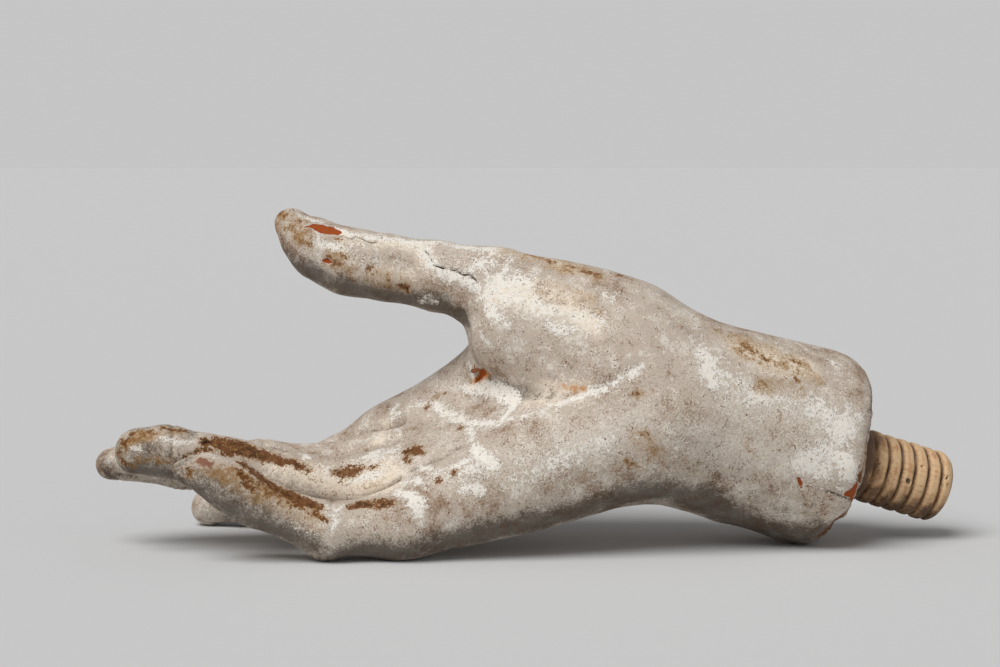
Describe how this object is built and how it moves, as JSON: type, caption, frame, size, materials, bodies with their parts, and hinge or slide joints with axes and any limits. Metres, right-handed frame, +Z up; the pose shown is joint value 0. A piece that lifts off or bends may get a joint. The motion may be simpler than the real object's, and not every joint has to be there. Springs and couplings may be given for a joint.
{
  "type": "display mannequin hand",
  "caption": "Life-size right hand for a display mannequin, lying palm up with open fingers and a raised thumb, with a threaded wooden stud in the wrist for fitting it to an arm.",
  "frame": {"origin": "centre of the bounding box, on the table that the hand rests on", "axes": "+X from the fingers towards the wrist and its stud, +Y towards the thumb side, +Z up"},
  "size_m": [0.2834, 0.0874, 0.1099],
  "materials": {
    "gesso_on_wood": "aged flaking gesso and paint over carved wood, matte",
    "bare_wood": "bare, dry, slightly polished by handling",
    "rusty_iron": "rusted"
  },
  "bodies": {
    "hand": {"palm_block": "gesso_on_wood", "thumb": "gesso_on_wood", "index_finger": "gesso_on_wood", "middle_finger": "gesso_on_wood", "ring_finger": "gesso_on_wood", "little_finger": "gesso_on_wood", "thumb_peg": "bare_wood", "index_peg": "bare_wood", "middle_peg": "bare_wood", "ring_peg": "bare_wood", "little_peg": "bare_wood", "thumb_brad": "rusty_iron"},
    "screw": {"wrist_screw": "bare_wood"}
  },
  "joints": [
    {"name": "screw_turn", "type": "hinge", "parent": "hand", "child": "screw", "pos_m": [0.10421, 0.0064, 0.02747], "axis": [0.933, 0.1898, -0.3057], "range_deg": [0, 1725]}
  ]
}
